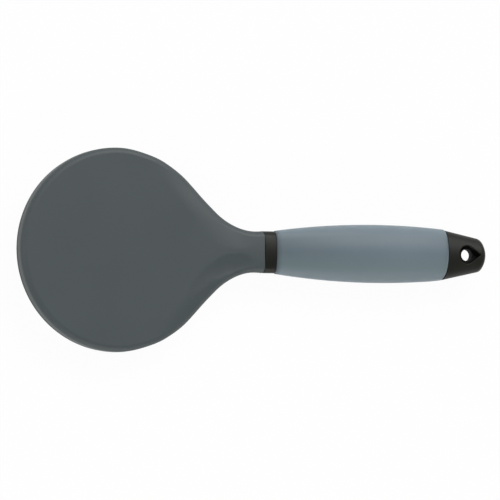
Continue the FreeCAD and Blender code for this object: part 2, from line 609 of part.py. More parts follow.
def bowed_butt(body):
    """What the plan of the butt cuts away: all beyond a wide bow and a round at each corner."""
    sketch = new_sketch(body, "butt_plan_section", "XY_Plane")
    end = size("butt_end")
    bow_radius = size("butt_bow")
    corner = size("butt_corner")
    start = size("corner_start")
    width = size("corner_height")
    outer = 2 * width
    reach = end + corner
    bow_place = end - bow_radius
    # First guesses, in degrees, of where the bow and the corners end: the ties below settle them.
    bow_turn, side_turn = 22.5, 77
    bow = sketch.addGeometry(arc(point(bow_place, 0), bow_radius, -bow_turn, bow_turn))
    spoke = FreeCAD.Vector(math.cos(math.radians(bow_turn)), math.sin(math.radians(bow_turn)), 0)
    middle = point(bow_place, 0) + spoke * (bow_radius - corner)
    upper = sketch.addGeometry(arc(middle, corner, bow_turn, side_turn))
    lower = sketch.addGeometry(arc(point(middle.x, -middle.y), corner, -side_turn, -bow_turn))
    corners = [point(start, width), point(start, outer), point(reach, outer), point(reach, -outer),
               point(start, -outer), point(start, -width)]
    edges = [sketch.addGeometry(Part.LineSegment(a, b)) for a, b in zip(corners, corners[1:])]
    tie(sketch,
        ("PointOnObject", bow, 3, -1),
        ("Tangent", bow, 2, upper, 1), ("Tangent", lower, 2, bow, 1), ("Equal", upper, lower),
        ("Coincident", upper, 2, edges[0], 1), ("Coincident", lower, 1, edges[4], 2),
        ("Coincident", edges[0], 2, edges[1], 1), ("Coincident", edges[1], 2, edges[2], 1),
        ("Coincident", edges[2], 2, edges[3], 1), ("Coincident", edges[3], 2, edges[4], 1),
        ("Vertical", edges[0]), ("Vertical", edges[4]),
        ("Horizontal", edges[1]), ("Vertical", edges[2]), ("Horizontal", edges[3]))
    bind(sketch, "bow", "sizes.butt_bow", "Radius", bow, bow_radius)
    bind(sketch, "bow_place", "sizes.butt_end - sizes.butt_bow", "DistanceX", -1, 1, bow, 3, bow_place)
    bind(sketch, "corner", "sizes.butt_corner", "Radius", upper, corner)
    bind(sketch, "upper_start", "sizes.corner_start", "DistanceX", -1, 1, edges[0], 1, start)
    bind(sketch, "lower_start", "sizes.corner_start", "DistanceX", -1, 1, edges[4], 2, start)
    margin = "sizes.corner_height + sizes.corner_margin"
    bind(sketch, "upper_side", margin, "DistanceY", -1, 1, edges[0], 1, width)
    bind(sketch, "lower_side", margin, "DistanceY", edges[4], 2, -1, 1, width)
    bind(sketch, "outer_top", "sizes.cap_width", "DistanceY", -1, 1, edges[0], 2, outer)
    bind(sketch, "outer_foot", "sizes.cap_width", "DistanceY", edges[4], 1, -1, 1, outer)
    bind(sketch, "outer_end", "sizes.butt_end + sizes.butt_corner", "DistanceX", -1, 1, edges[2], 1, reach)
    return sketch


def edge_cut(body, name, side):
    """What rounds the butt's upper (1) or lower (-1) edge: a square corner outside a quarter circle."""
    sketch = new_sketch(body, name, "XZ_Plane")
    radius = size("butt_round")
    right = size("butt_end") + size("cut_margin")
    rim = size("butt_thickness") / 2 + size("cut_margin")
    left = right - radius
    outer = 2 * rim
    start, end = (0, 90) if side > 0 else (270, 360)
    at_butt, at_face = (1, 2) if side > 0 else (2, 1)
    round_edge = sketch.addGeometry(arc(point(left, side * (rim - radius)), radius, start, end))
    corners = [point(right, side * (rim - radius)), point(right, side * outer), point(left, side * outer),
               point(left, side * rim)]
    edges = [sketch.addGeometry(Part.LineSegment(a, b)) for a, b in zip(corners, corners[1:])]
    tie(sketch,
        ("Tangent", round_edge, at_butt, edges[0], 1), ("Coincident", round_edge, at_face, edges[2], 2),
        ("Coincident", edges[0], 2, edges[1], 1), ("Coincident", edges[1], 2, edges[2], 1),
        ("Vertical", edges[0]), ("Horizontal", edges[1]), ("Vertical", edges[2]))
    place = "sizes.butt_end + sizes.cut_margin - sizes.butt_round"
    lift = f"{side} * (sizes.butt_thickness / 2 + sizes.cut_margin - sizes.butt_round)"
    bind(sketch, "round", "sizes.butt_round", "Radius", round_edge, radius)
    bind(sketch, "round_place", place, "DistanceX", -1, 1, round_edge, 3, left)
    bind(sketch, "round_lift", lift, "DistanceY", -1, 1, round_edge, 3, side * (rim - radius))
    bind(sketch, "face_place", place, "DistanceX", -1, 1, edges[2], 2, left)
    bind(sketch, "outer_lift", f"{side} * sizes.cap_thickness", "DistanceY", -1, 1, edges[1], 1,
         side * outer)
    return sketch


def drop_outline(body, name, height):
    """A drop: round about the hanging hole, with two tangent lines to a point near the butt."""
    sketch = new_sketch(body, name, "XY_Plane", height)
    place = size("hole_centre") - size("recess_shift")
    radius = size("recess_radius")
    reach = size("recess_shift") + size("recess_tip")
    half = math.acos(radius / reach)
    touch = point(place + radius * math.cos(half), radius * math.sin(half))
    bow = sketch.addGeometry(arc(point(place, 0), radius, math.degrees(half), 360 - math.degrees(half)))
    above = sketch.addGeometry(Part.LineSegment(point(place + reach, 0), touch))
    below = sketch.addGeometry(Part.LineSegment(point(touch.x, -touch.y), point(place + reach, 0)))
    tie(sketch, ("PointOnObject", bow, 3, -1), ("Tangent", above, 2, bow, 1),
        ("Tangent", bow, 2, below, 1), ("Coincident", below, 2, above, 1),
        ("PointOnObject", above, 1, -1))
    bind(sketch, "bow", "sizes.recess_radius", "Radius", bow, radius)
    bind(sketch, "bow_place", "sizes.hole_centre - sizes.recess_shift", "DistanceX", -1, 1, bow, 3, place)
    bind(sketch, "tip_place", "sizes.hole_centre + sizes.recess_tip", "DistanceX", -1, 1, above, 1,
         place + reach)
    return sketch


def tang_pin():
    """The steel pin that locks the tang in the grip core."""
    pin = DOC.addObject("Part::Cylinder", "tang_pin")
    pin.Label = "tang_pin"
    pin.setExpression("Radius", "sizes.pin_diameter / 2 - sizes.bond_gap")
    pin.setExpression("Height", "sizes.pin_length")
    pin.setExpression("Placement.Base.x", "sizes.pin_place")
    pin.setExpression("Placement.Base.z", "sizes.axis_height - sizes.pin_length / 2")
    return pin


def check_and_write(pieces):
    """Stop on any failed object or bad shape, then write one STEP file for each piece."""
    DOC.recompute()
    for item in DOC.Objects:
        if "Invalid" in item.State or "Error" in item.State:
            raise RuntimeError(f"{item.Label} failed: {item.getStatusString()}")
    for piece in pieces:
        if piece.Shape.isNull() or not piece.Shape.isValid() or not piece.Shape.Solids:
            raise RuntimeError(f"{piece.Label} has no valid solid")
    os.makedirs("parts", exist_ok=True)
    for piece in pieces:
        piece.Shape.exportStep(f"parts/{piece.Label}.step")
        print(piece.Label, len(piece.Shape.Solids), round(piece.Shape.Volume))


PIECES = [
    back_shell(),
    head_frame(),
    tooth_pad(),
    neck_collar(),
    gel_sleeve(),
    grip_core_half("grip_core_upper", True),
    grip_core_half("grip_core_lower", False),
    end_cap(),
    tang_pin(),
]
check_and_write(PIECES)
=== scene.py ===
import math

import bmesh
import bpy
import numpy as np
from mathutils import Matrix, Quaternion, Vector

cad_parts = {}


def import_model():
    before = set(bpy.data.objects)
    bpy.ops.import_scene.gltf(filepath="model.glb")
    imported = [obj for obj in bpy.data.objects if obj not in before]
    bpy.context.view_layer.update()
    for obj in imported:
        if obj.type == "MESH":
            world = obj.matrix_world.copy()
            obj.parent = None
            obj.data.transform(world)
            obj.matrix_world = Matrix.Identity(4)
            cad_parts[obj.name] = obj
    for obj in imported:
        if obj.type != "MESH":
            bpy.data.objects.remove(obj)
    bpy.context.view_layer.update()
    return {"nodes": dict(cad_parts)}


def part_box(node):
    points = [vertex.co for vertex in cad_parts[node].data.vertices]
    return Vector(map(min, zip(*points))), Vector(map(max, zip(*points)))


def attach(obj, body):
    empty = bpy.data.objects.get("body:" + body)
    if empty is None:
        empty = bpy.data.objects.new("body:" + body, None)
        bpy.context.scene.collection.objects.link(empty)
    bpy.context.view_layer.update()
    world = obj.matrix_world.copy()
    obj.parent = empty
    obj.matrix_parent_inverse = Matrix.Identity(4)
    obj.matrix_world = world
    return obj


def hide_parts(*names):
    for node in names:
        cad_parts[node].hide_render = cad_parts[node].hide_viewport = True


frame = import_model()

# A curry comb lying on its teeth: a slate soft-touch back on a rubber tooth pad, a waisted neck, a
# black collar, a milky gel grip and a black hanging cap. Shapes are worked out in millimetres in the
# frame's axes: +X runs along the handle to its butt, +Z points out of the smooth back.

MM = 0.001

# Points nearer than the gap are merged, shorter edges dissolved, and steeper creases kept sharp.
MERGE_GAP = 0.002 * MM
SLIVER = 0.001 * MM
CREASE = math.radians(32.0)

# How finely the sheets are divided.
HOLLOW_STEPS = 60
FLANK_STEPS = 26
RIM_STEPS = 110
BACK_ROWS = 64
EDGE_ROWS = 18
FOOT_ROWS = 10
WALL_ROWS = 6
UNDER_ROWS = 8
PAD_COLUMNS = 200
RIDGE_STEPS = 11
TOOTH_COLUMNS = 24
OVAL_STEPS = 15
GEL_ROWS = 72
GEL_INNER_ROWS = 24
CAP_COLUMNS = 150
CAP_ROWS = 40
BUTT_STEPS = 160
TAPER_STEPS = 40
FACE_STEPS = 30
ROUND_STEPS = 6
SMALL_ROUND_STEPS = 5


def box_mm(node):
    """The two corners of a node of the frame, in millimetres."""
    low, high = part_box(node)
    return np.array(low) / MM, np.array(high) / MM


SHELL_LOW, SHELL_HIGH = box_mm("back_shell")
PAD_RADIUS = box_mm("tooth_pad")[1][0]
COLLAR_LOW, COLLAR_HIGH = box_mm("neck_collar")
SLEEVE_LOW, SLEEVE_HIGH = box_mm("gel_sleeve")
CAP_LOW, CAP_HIGH = box_mm("end_cap")

# The back shell in plan: a round head, a straight flank tangent to it at each side, and a hollow arc
# from there to the waist. FLANK_LEAN is the bearing of the flank's outward normal.
HEAD_RADIUS = SHELL_HIGH[1]
BACK_HEIGHT = SHELL_HIGH[2]
NECK_FOOT = SHELL_LOW[2]
NECK_END = SHELL_HIGH[0]
AXIS_HEIGHT = (BACK_HEIGHT + NECK_FOOT) / 2
FLANK_LEAN = math.radians(44.0)
NECK_ARC = 34.2
WAIST_HALF = 11.85
ARC_HEIGHT = WAIST_HALF + NECK_ARC
ARC_PLACE = (HEAD_RADIUS + NECK_ARC - ARC_HEIGHT * math.sin(FLANK_LEAN)) / math.cos(FLANK_LEAN)
ARC_CENTRE = np.array([ARC_PLACE, ARC_HEIGHT])
ARC_START = ARC_PLACE - NECK_ARC * math.cos(FLANK_LEAN)

# Places along the handle, and how far the outline stands out from that plan at each.
PLAN_PLACES = np.array([-60.0, 2.0, 18.0, 30.0, 44.0, 54.0, 64.0, 84.0])
PLAN_SHIFTS = np.array([0.0, 0.0, -0.45, -0.15, 0.7, 0.45, 0.75, 0.0])

# The shell's rounded edges: how far the back's edge falls and how far in it starts, then the rounds
# along the neck, under the neck and under the rim.
EDGE_ROUND = 3.2
EDGE_REACH = 3.5
NECK_ROUND = 3.3
FOOT_ROUND = 1.8
WALL_FOOT_ROUND = 0.4

# The cavity: the pad's seat, the skirt round the frame and the roof over it.
SHELL_FOOT = 12.1
SEAT_RADIUS = 59.5
SEAT_BLEND = (-0.3, 0.6)
SKIRT_RADIUS = 52.25
ROOF_HEIGHT = 17.5
ROOF_ROUND = 1.5
ROOF_ROUND_MIDDLE = 0.44

# How the back falls away to the flanks, and the hollow let into each flank beside the neck. Places
# lie along the handle. Shares are of the whole depth, and middles are distances inside the outline.
SPINE_EASE = 0.8
ROLL_WIDTH = 12.4
ROLL_DROP = 2.6
ROLL_PLACES = np.array([18.0, 44.0, 62.0, 86.0])
ROLL_SHARES = np.array([0.0, 1.0, 0.85, 0.35])
SCOOP_RADIUS = 14.0
SCOOP_DEPTH = 1.05
SCOOP_LEFT = 0.2
SCOOP_RIDGE = 2.0
SCOOP_PLACES = np.array([42.0, 54.0, 64.0, 73.0, 84.0])
SCOOP_SHARES = np.array([0.0, 0.4, 1.0, 1.0, 0.0])
SCOOP_MIDDLES = np.array([11.0, 10.2, 8.4, 6.3, 5.2])
SCOOP_BLEND = 0.35

# The tooth pad: its flange and spigot, then its rings of teeth and the ridges they stand on.
FLANGE_FOOT = 9.0
FLANGE_TOP = 11.5
FLANGE_ROUND = 0.7
SPIGOT_TOP = 12.2
SPIGOT_GAP = 0.15
RING_RADII = 52.0 - 10.0 * np.arange(5)
RIDGE_HALF = 1.5
RIDGE_HEIGHT = 3.0
RIDGE_FLARE = 0.7
MIDDLE_FLAT = 2.0
TOOTH_PITCH = 10.6
TOOTH_HALF = np.array([2.7, 3.4])
MIDDLE_TOOTH_HALF = np.array([3.4, 3.4])
TOOTH_SLOPE = math.tan(math.radians(8.5))
TOOTH_TIP_ROUND = 0.8
TOOTH_ROOTS = FLANGE_FOOT + np.array([0.5, 0.1, -0.25, -0.8])
TOOTH_ROOT_FLARES = np.array([0.5, 0.5, 0.2, 0.0])
TOOTH_MIDDLES = np.array([5.5, 3.0])
TOOTH_TURN = 0.1

# The side arc's radius in the handle's oval sections, as a share of the half thickness.
FULLNESS = 0.82

# The collar: half width and half thickness, the fine groove at the neck, its wall and soft edges.
COLLAR_HALF = np.array([COLLAR_HIGH[1], COLLAR_HIGH[2] - AXIS_HEIGHT])
COLLAR_GROOVE = 0.6
COLLAR_GROOVE_DEPTH = 0.35
COLLAR_WALL = 3.2
COLLAR_SOFT = 0.25
COLLAR_BEVEL = 0.1
GROOVE_MARGIN = 0.01

# The gel grip swells from the collar to its crown and narrows to the cap: places along the handle,
# and the half widths and half thicknesses there.
GRIP_LIP = 2.0
GRIP_MOUTH_ROUND = 0.8
GRIP_PLACES = np.array([SLEEVE_LOW[0], SLEEVE_LOW[0] + 64.3, SLEEVE_HIGH[0] - GRIP_LIP])
GRIP_HALF_WIDTHS = np.array([COLLAR_HALF[0] + 0.3, 16.9, 14.95])
GRIP_HALF_THICKNESSES = np.array([COLLAR_HALF[1] + 0.3, 11.3, 9.3])
GEL_WALL = 2.2

# The end cap: a straight taper to a bowed butt with round corners.
CAP_START = SLEEVE_HIGH[0]
CAP_END = CAP_HIGH[0]
CAP_HALF = np.array([14.1, 8.45])
BUTT_HALF = np.array([8.8, 6.1])
BUTT_BOW = 19.5
BUTT_CORNER = 3.8
BUTT_ROUND = 3.0
BUTT_SPAN = 6.0
CAP_FULLER = 1.012

# How gel and cap lean back at the right-hand flank, and how far the cap flares out there.
JOINT_LEAN = 1.4
JOINT_SPAN = 11.0
CAP_FLARE = 0.3

# The hanging hole in its web, and the drop-shaped recess about it: its circle lies off the hole's axis
# by the shift, towards the sleeve, and its tip lies that far from the axis, towards the butt.
HOLE_PLACE = CAP_START + 12.95
HOLE_RADIUS = 3.4
HOLE_WEB_HALF = 3.0
RECESS_RADIUS = 5.2
RECESS_SHIFT = 1.0
RECESS_TIP = 7.8

# Softened edges: the hole's rim, the recess's upper rim, the cove at its foot and its wall's draft.
HOLE_SOFT = 0.35
RECESS_RIM = 0.45
RECESS_COVE = 0.7
RECESS_DRAFT = 0.15

# The widest angle at which the tip's tangent is worked out, how far below the web's face the hole's
# wall has its second row, and the shares of the height at which the cap's side has its rows.
TANGENT_LIMIT = 0.97 * math.pi
HOLE_WALL_DROP = 1.0
SIDE_SHARES = np.array([[0.97], [0.5], [0.0]])

# The plug that holds the cap in the grip's core. It bites a little way into the cap.
PLUG_HALF = np.array([9.8, 4.15])
PLUG_CORE = 3.5
PLUG_BEVEL = 0.6
PLUG_BITE = 0.2


# ---------------------------------------------------------------- surfaces


def smoothstep(value, start, end):
    """0 before start, 1 after end, and 3t squared minus 2t cubed of the share t between them."""
    share = np.clip((value - start) / (end - start), 0, 1)
    return share * share * (3 - 2 * share)


def smooth_steps(value, places, levels):
    """The levels at the given places, with a smoothstep from each to the next."""
    climbs = smoothstep(np.asarray(value)[..., None], places[:-1], places[1:]) * np.diff(levels)
    return levels[0] + climbs.sum(axis=-1)


def soft_min(a, b, blend):
    """The lower of two heights, with a parabola of that width across the crease where they meet."""
    share = np.clip(0.5 + 0.5 * (b - a) / blend, 0, 1)
    return b + (a - b) * share - blend * share * (1 - share)


def mirrored(half):
    """A half outline in plan, followed by its mirror image across the handle's axis."""
    return np.concatenate([half, half[-2::-1] * np.array([1.0, -1.0])])


def grid_corners(rows, columns, close_rows):
    """Corner numbers of the quads between neighbouring rows and columns. The columns always close up."""
    row = np.arange(rows if close_rows else rows - 1)[:, None]
    column = np.arange(columns)[None, :]
    next_row, next_column = (row + 1) % rows, (column + 1) % columns
    corners = (
        row * columns + column,
        row * columns + next_column,
        next_row * columns + next_column,
        next_row * columns + column,
    )
    return np.stack(np.broadcast_arrays(*corners), axis=-1).reshape(-1, 4)


def build(name, sheets, close_rows=False, shades=None):
    """A piece made of closed sheets, each a grid of points (rows, columns, 3) in millimetres.
    Points that fall together at poles and collapsed rows are merged and the faces turned outwards.
    shades holds named numbers for every point, for the materials to read."""
    points = np.concatenate([sheet.reshape(-1, 3) for sheet in sheets]) * MM
    faces, first = [], 0
    for sheet in sheets:
        rows, columns = sheet.shape[:2]
        faces.append(grid_corners(rows, columns, close_rows) + first)
        first += rows * columns
    mesh = bpy.data.meshes.new(name)
    mesh.from_pydata(points.tolist(), [], np.concatenate(faces).tolist())
    for label, numbers in (shades or {}).items():
        layer = mesh.attributes.new(label, "FLOAT", "POINT")
        layer.data.foreach_set("value", np.asarray(numbers, dtype=np.float32).ravel())
    work = bmesh.new()
    work.from_mesh(mesh)
    bmesh.ops.remove_doubles(work, verts=work.verts, dist=MERGE_GAP)
    bmesh.ops.dissolve_degenerate(work, edges=work.edges, dist=SLIVER)
    bmesh.ops.recalc_face_normals(work, faces=work.faces)
    work.to_mesh(mesh)
    work.free()
    mesh.shade_smooth()
    mesh.set_sharp_from_angle(angle=CREASE)
    piece = bpy.data.objects.new(name, mesh)
    bpy.context.scene.collection.objects.link(piece)
    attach(piece, "root")
    return piece


def with_height(plan, height):
    """Points in plan, their last axis x and y, put together with their heights."""
    return np.concatenate([plan, np.broadcast_to(height, plan.shape[:-1])[..., None]], axis=-1)


# ---------------------------------------------------------------- back shell


def back_plan():
    """Plan of the shell, anticlockwise from the neck's end: a hollow arc about a point beside the
    neck, a straight flank tangent to it, the round head, then the mirror image. Gives the points
    and the outward normals."""
    end_turn = math.asin((NECK_END - ARC_PLACE) / NECK_ARC)
    turn = np.linspace(1.5 * math.pi + end_turn, math.pi + FLANK_LEAN, HOLLOW_STEPS)
    spoke = np.stack([np.cos(turn), np.sin(turn)], axis=-1)
    hollow = ARC_CENTRE + NECK_ARC * spoke
    round_turn = np.linspace(FLANK_LEAN, math.pi, RIM_STEPS)
    rim = np.stack([np.cos(round_turn), np.sin(round_turn)], axis=-1)
    share = np.linspace(0, 1, FLANK_STEPS)[1:-1, None]
    flank = hollow[-1] * (1 - share) + HEAD_RADIUS * rim[0] * share
    points = np.concatenate([hollow, flank, HEAD_RADIUS * rim])
    normals = np.concatenate([-spoke, np.broadcast_to(rim[0], flank.shape), rim])
    points = points + normals * smooth_steps(points[:, 0], PLAN_PLACES, PLAN_SHIFTS)[:, None]
    return mirrored(points), mirrored(normals)


def edge_distance(plan):
    """How far a point in plan lies inside the neck's outline: from the hollow arc where the arc's
    own spokes reach, and from the straight flank before that."""
    x, y = plan[..., 0], np.abs(plan[..., 1])
    from_arc = np.hypot(x - ARC_PLACE, y - ARC_HEIGHT) - NECK_ARC
    from_flank = HEAD_RADIUS - x * math.cos(FLANK_LEAN) - y * math.sin(FLANK_LEAN)
    before_arc = (ARC_PLACE - x) * math.sin(FLANK_LEAN) - (ARC_HEIGHT - y) * math.cos(FLANK_LEAN)
    return np.where(before_arc > 0, from_flank, from_arc)


def roll_off(plan):
    """How far a face falls away towards the neck's outline: with the square of the distance past a
    line that runs a set width inside the outline. It sets in on the head, is whole on the flanks and
    eases towards the collar."""
    near = np.clip(1 - edge_distance(plan) / ROLL_WIDTH, 0, 1)
    return ROLL_DROP * smooth_steps(plan[..., 0], ROLL_PLACES, ROLL_SHARES) * near ** 2


def scoop(plan):
    """How deep the hollow in each flank is let in: a round groove that follows the neck's outline, its
    middle line drawing nearer to the outline and its depth running out before the collar. The
    right-hand hollow is the deeper one."""
    x = plan[..., 0]
    depth = SCOOP_DEPTH * smooth_steps(x, SCOOP_PLACES, SCOOP_SHARES)
    across = edge_distance(plan) - smooth_steps(x, SCOOP_PLACES, SCOOP_MIDDLES)
    inside = np.sqrt(np.maximum(SCOOP_RADIUS ** 2 - across ** 2, 0))
    right = smoothstep(-plan[..., 1], -SCOOP_RIDGE, SCOOP_RIDGE)
    share = SCOOP_LEFT + (1 - SCOOP_LEFT) * right
    return -share * soft_min(0.0, SCOOP_RADIUS - depth - inside, SCOOP_BLEND) * (depth > 0)


def back_surface(plan):
    """Height of the back before its edge is rounded: flat on the head, rolling off and hollowed
    towards the neck's outline."""
    return BACK_HEIGHT - roll_off(plan) - scoop(plan)


def edge_round(outline, normals, reach, drop, field, lift, steps):
    """Quarter of an oval between a face and the side wall, laid on the face's own shape: it sets in
    the reach inside the outline and has fallen by the whole drop at the outline. lift is 1 for the
    back and -1 for the underside. Rows run outwards."""
    turn = math.pi / 2 * np.linspace(0, 1, steps)[:, None]
    plan = outline - normals * (reach * (1 - np.sin(turn)))[..., None]
    return plan, field(plan) - lift * drop * (1 - np.cos(turn))


def back_shell():
    """The slate moulding as one closed grid: columns follow the plan, and rows run out over the back,
    round its edge, down the side, round the foot, in to the pad's seat and up inside the cavity."""
    outline, normals = back_plan()
    radius = np.hypot(outline[:, 0], outline[:, 1])
    x = outline[:, 0]
    neck_share = np.clip((x - ARC_START) / (NECK_END - ARC_START), 0, 1)
    on_neck = smoothstep(radius - SEAT_RADIUS, *SEAT_BLEND)

    drop = EDGE_ROUND + neck_share * (NECK_ROUND - EDGE_ROUND)
    reach = EDGE_REACH + neck_share * (NECK_ROUND - EDGE_REACH)
    round_plan, round_height = edge_round(outline, normals, reach, drop, back_surface, 1, EDGE_ROWS)
    shoulder = HEAD_RADIUS * math.cos(FLANK_LEAN)
    spine = NECK_END * np.clip((x - shoulder) / (NECK_END - shoulder), 0, 1) ** SPINE_EASE
    middle = np.stack([spine, np.zeros_like(spine)], axis=-1)
    out = np.sin(np.linspace(0, math.pi / 2, BACK_ROWS))[:, None, None]
    flat_plan = middle + (round_plan[0] - middle) * out
    top_plan = np.concatenate([flat_plan, round_plan[1:]])
    top = with_height(top_plan, np.concatenate([back_surface(flat_plan), round_height[1:]]))

    foot_height = SHELL_FOOT + on_neck * (NECK_FOOT - SHELL_FOOT)
    neck_foot_round = FOOT_ROUND + neck_share * (NECK_ROUND - FOOT_ROUND)
    foot_round = WALL_FOOT_ROUND + on_neck * (neck_foot_round - WALL_FOOT_ROUND)

    def underside(plan):
        """Height of the underside before its edge is rounded."""
        return foot_height + on_neck * roll_off(plan)

    under_plan, under_height = edge_round(
        outline, normals, foot_round, foot_round, underside, -1, FOOT_ROWS)
    foot = with_height(under_plan, under_height)[::-1]
    share = np.linspace(0, 1, WALL_ROWS)[1:-1, None, None]
    wall = top[-1] * (1 - share) + foot[0] * share

    past_seat = np.clip((radius - SEAT_RADIUS) / (NECK_END - SEAT_RADIUS), 0, 1)
    bearing = np.arctan2(outline[:, 1], x) * (1 - past_seat)
    spoke = np.stack([np.cos(bearing), np.sin(bearing)], axis=-1)
    seat_plan = np.where((on_neck > 0)[:, None], SEAT_RADIUS * spoke, foot[-1][:, :2])
    share = np.linspace(0, 1, UNDER_ROWS)[1:, None, None]
    under_plan = foot[-1][:, :2] * (1 - share) + seat_plan * share
    under = with_height(under_plan, underside(under_plan))
    inner = [
        with_height(seat_plan, SHELL_FOOT),
        with_height(SKIRT_RADIUS * spoke, SHELL_FOOT),
        with_height(SKIRT_RADIUS * spoke, ROOF_HEIGHT - ROOF_ROUND),
        with_height((SKIRT_RADIUS - ROOF_ROUND_MIDDLE) * spoke, ROOF_HEIGHT - ROOF_ROUND_MIDDLE),
        with_height((SKIRT_RADIUS - ROOF_ROUND) * spoke, ROOF_HEIGHT),
        with_height(SKIRT_RADIUS / 2 * spoke, ROOF_HEIGHT),
        with_height(0 * spoke, ROOF_HEIGHT),
    ]
    sheet = np.concatenate([top, wall, foot, under, np.stack(inner)])
    edge = np.zeros(sheet.shape[:2])
    rounded = slice(len(flat_plan), len(top_plan))
    edge[rounded] = np.sin(np.linspace(0, math.pi, len(top_plan) - len(flat_plan)))[:, None]
    piece = build("back_shell_moulding", [sheet], shades={"edge": edge})
    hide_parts("back_shell")
    return piece


# ---------------------------------------------------------------- tooth pad


def pad_profile():
    """Half section of the pad without its teeth, from the middle of its underside to the middle of
    its top: round ridges, a flange with rounded edges and the low spigot that fills the shell."""
    foot = FLANGE_FOOT
    turn = np.linspace(0, math.pi, RIDGE_STEPS)
    crest = foot - RIDGE_HEIGHT + RIDGE_HALF * (1 - np.sin(turn))
    ridge = np.stack([-RIDGE_HALF * np.cos(turn), crest], axis=-1)
    bend = np.linspace(0, math.pi / 2, SMALL_ROUND_STEPS)
    ramp_radii = RIDGE_FLARE * np.sin(bend) - RIDGE_FLARE - RIDGE_HALF
    ramp = np.stack([ramp_radii, foot - RIDGE_FLARE * (1 - np.cos(bend))], axis=-1)
    ridge = np.concatenate([ramp, ridge, (ramp * np.array([-1.0, 1.0]))[::-1]])
    bend = np.linspace(0, math.pi / 2, ROUND_STEPS)
    corner = FLANGE_ROUND * np.stack([np.sin(bend), 1 - np.cos(bend)], axis=-1)
    edge = PAD_RADIUS - FLANGE_ROUND
    spigot = SKIRT_RADIUS - SPIGOT_GAP
    return np.concatenate([
        np.array([[0.0, foot], [MIDDLE_FLAT, foot]]),
        *(ridge + np.array([radius, 0.0]) for radius in RING_RADII[::-1]),
        np.array([edge, foot]) + corner,
        np.array([edge, FLANGE_TOP]) + corner[::-1] * np.array([1.0, -1.0]),
        np.array([[spigot, FLANGE_TOP], [spigot, SPIGOT_TOP]]),
        np.array([[spigot / 2, SPIGOT_TOP], [0.0, SPIGOT_TOP]]),
    ])


def revolved(profile):
    """A profile of radii and heights turned about the head's upright axis."""
    turn = np.linspace(0, 2 * math.pi, PAD_COLUMNS, endpoint=False)
    x = profile[:, 0, None] * np.cos(turn)
    y = profile[:, 0, None] * np.sin(turn)
    return np.stack([x, y, np.broadcast_to(profile[:, 1, None], x.shape)], axis=-1)


def tooth_sheet(half):
    """One tooth at its own axis: sections are a rounded rectangle, |x/a|^4 + |y/b|^4 = 1, which
    narrows by the moulding slope, flares at its root and closes with a quarter round at the tip."""
    bend = np.linspace(0, math.pi / 2, SMALL_ROUND_STEPS)
    heights = np.concatenate([TOOTH_ROOTS, TOOTH_MIDDLES, TOOTH_TIP_ROUND * (1 - np.sin(bend))])
    inset = np.concatenate([
        -TOOTH_ROOT_FLARES,
        0 * TOOTH_MIDDLES,
        TOOTH_TIP_ROUND * (1 - np.cos(bend)),
    ])
    inset = inset + (FLANGE_FOOT - np.minimum(heights, FLANGE_FOOT)) * TOOTH_SLOPE
    turn = np.linspace(0, 2 * math.pi, TOOTH_COLUMNS, endpoint=False) + TOOTH_TURN
    circle = np.stack([np.cos(turn), np.sin(turn)], axis=-1)
    unit = np.sign(circle) * np.abs(circle) ** 0.5
    sheet = with_height((half - inset[:, None])[:, None, :] * unit, heights[:, None])
    root = sheet[:1] * np.array([0, 0, 1])
    return np.concatenate([root, sheet, 0 * sheet[:1]])


def tooth_rings():
    """Every tooth: one in the middle, then one shape turned to face it and set out evenly round each
    ring."""
    tooth = tooth_sheet(TOOTH_HALF)
    sheets = [tooth_sheet(MIDDLE_TOOTH_HALF)]
    for radius in RING_RADII:
        count = round(2 * math.pi * radius / TOOTH_PITCH)
        for turn in 2 * math.pi / count * np.arange(count):
            across, along = tooth[..., 0] + radius, tooth[..., 1]
            x = across * math.cos(turn) - along * math.sin(turn)
            y = across * math.sin(turn) + along * math.cos(turn)
            sheets.append(np.stack([x, y, tooth[..., 2]], axis=-1))
    return sheets


def tooth_pad():
    """The rubber pad: a turned disc with its ridges, and the rings of teeth that grow from them."""
    piece = build("tooth_pad_rubber", [revolved(pad_profile())] + tooth_rings())
    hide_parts("tooth_pad")
    return piece


# ---------------------------------------------------------------- handle


def oval_terms(half_width, half_thickness):
    """Side radius, crown radius and the angle of the normal where the two arcs of an oval meet."""
    side = FULLNESS * half_thickness
    reach = half_width - side
    crown = (reach ** 2 + half_thickness ** 2 - side ** 2) / (2 * (half_thickness - side))
    return side, crown, np.arctan2(crown - half_thickness, reach)


def oval_rings(half_width, half_thickness):
    """Sections across the handle, one row for each pair of half sizes: a tight arc at each side and a
    wide arc over the crown, both stepped evenly by the angle of the normal."""
    half_width = half_width[:, None]
    half_thickness = half_thickness[:, None]
    side, crown, joint = oval_terms(half_width, half_thickness)
    share = np.linspace(0, 1, OVAL_STEPS)
    tight = joint * share
    wide = joint + (math.pi / 2 - joint) * share[1:]
    y = np.concatenate([half_width - side + side * np.cos(tight), crown * np.cos(wide)], axis=1)
    z = np.concatenate([side * np.sin(tight), half_thickness - crown + crown * np.sin(wide)], axis=1)
    y = np.concatenate([y, -y[:, -2::-1]], axis=1)
    z = np.concatenate([z, z[:, -2::-1]], axis=1)
    y = np.concatenate([y, y[:, -2:0:-1]], axis=1)
    z = np.concatenate([z, -z[:, -2:0:-1]], axis=1)
    return y, z


def handle_sheet(stations, half_width, half_thickness):
    """Ovals at a row of stations (place, inset): each is the handle's own section there, drawn in.
    The half sizes are functions of the place along the handle."""
    place, inset = np.asarray(stations).T
    y, z = oval_rings(half_width(place) - inset, half_thickness(place) - inset)
    return np.stack([np.broadcast_to(place[:, None], y.shape), y, z + AXIS_HEIGHT], axis=-1)


def steady(half_size):
    """A half size that is the same all along the handle."""
    return lambda x: half_size + 0 * x


